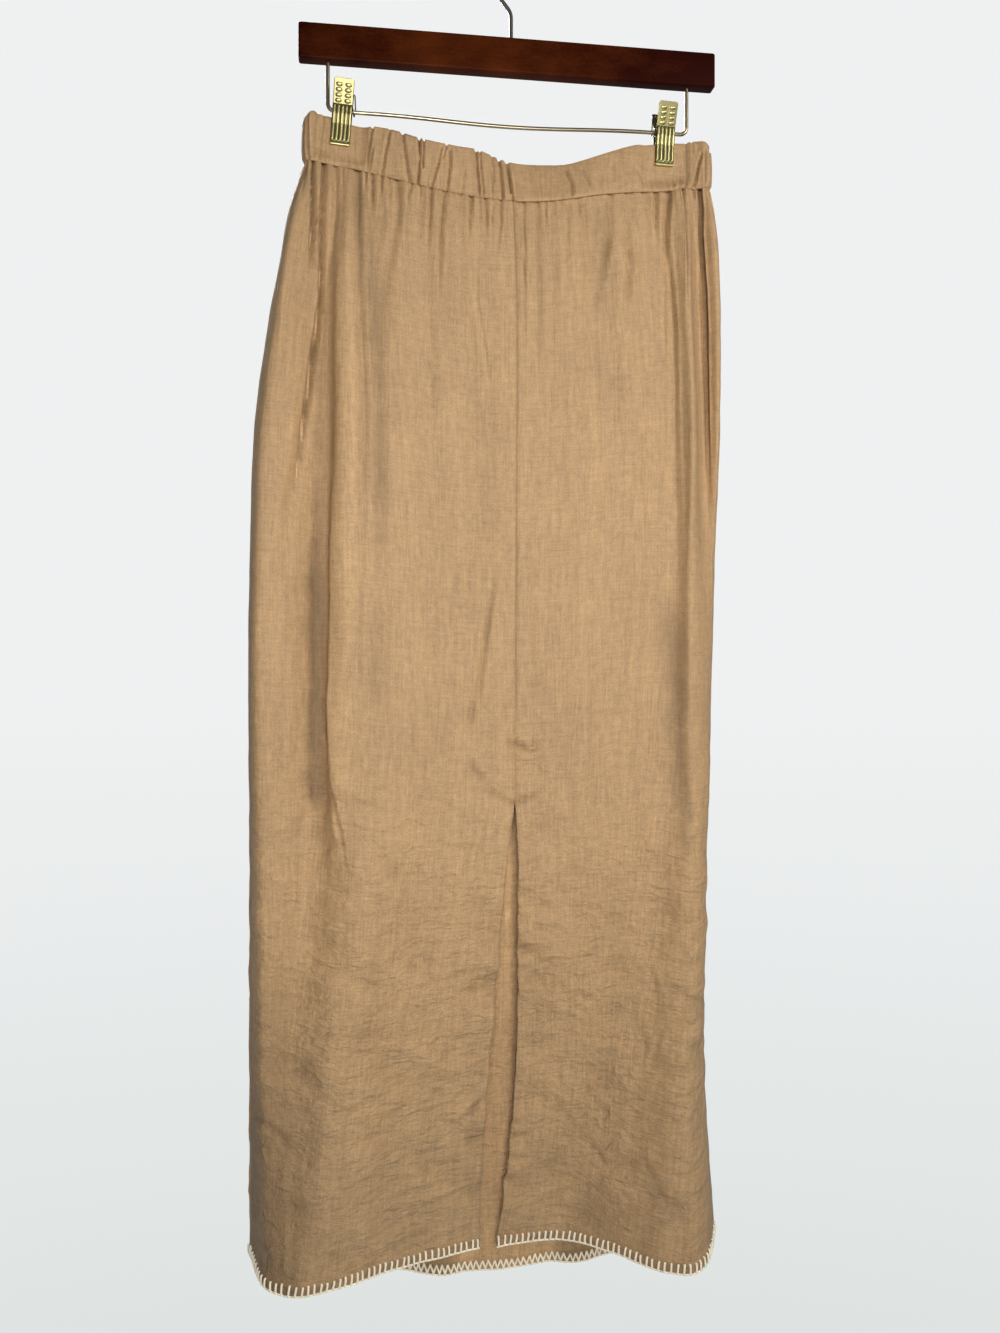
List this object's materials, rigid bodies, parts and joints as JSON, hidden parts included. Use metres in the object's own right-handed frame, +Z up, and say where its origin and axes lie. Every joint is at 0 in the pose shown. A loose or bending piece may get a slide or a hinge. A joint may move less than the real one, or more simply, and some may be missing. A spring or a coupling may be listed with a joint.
{
  "type": "maxi skirt on a clip hanger",
  "caption": "Long linen skirt with a gathered elastic waistband and a front slit, hung by spring clips from a wooden bar hanger.",
  "frame": {"origin": "inside of the hook's crown, where a rail carries the hanger", "axes": "+X along the hanger's bar to the viewer's right, +Y from the skirt's front to its back, +Z up"},
  "size_m": [0.4029, 0.0775, 1.1281],
  "materials": {
    "linen": "matte tan linen, plain weave",
    "yarn": "matte cream cotton yarn",
    "mahogany": "dark red-brown lacquer",
    "nickel": "smooth plated wire",
    "champagne": "pale gold plated wire",
    "brass": "pale brass plate, pressed"
  },
  "bodies": {
    "root": {"waistband": "linen", "front_left": "linen", "front_right": "linen", "back": "linen", "hanger_bar": "mahogany", "hanger_hook": "nickel", "hanger_rod": "champagne", "clip_left_front": "brass", "clip_left_back": "brass", "clip_left_sleeve": "brass", "clip_right_front": "brass", "clip_right_back": "brass", "clip_right_sleeve": "brass"}
  },
  "joints": []
}
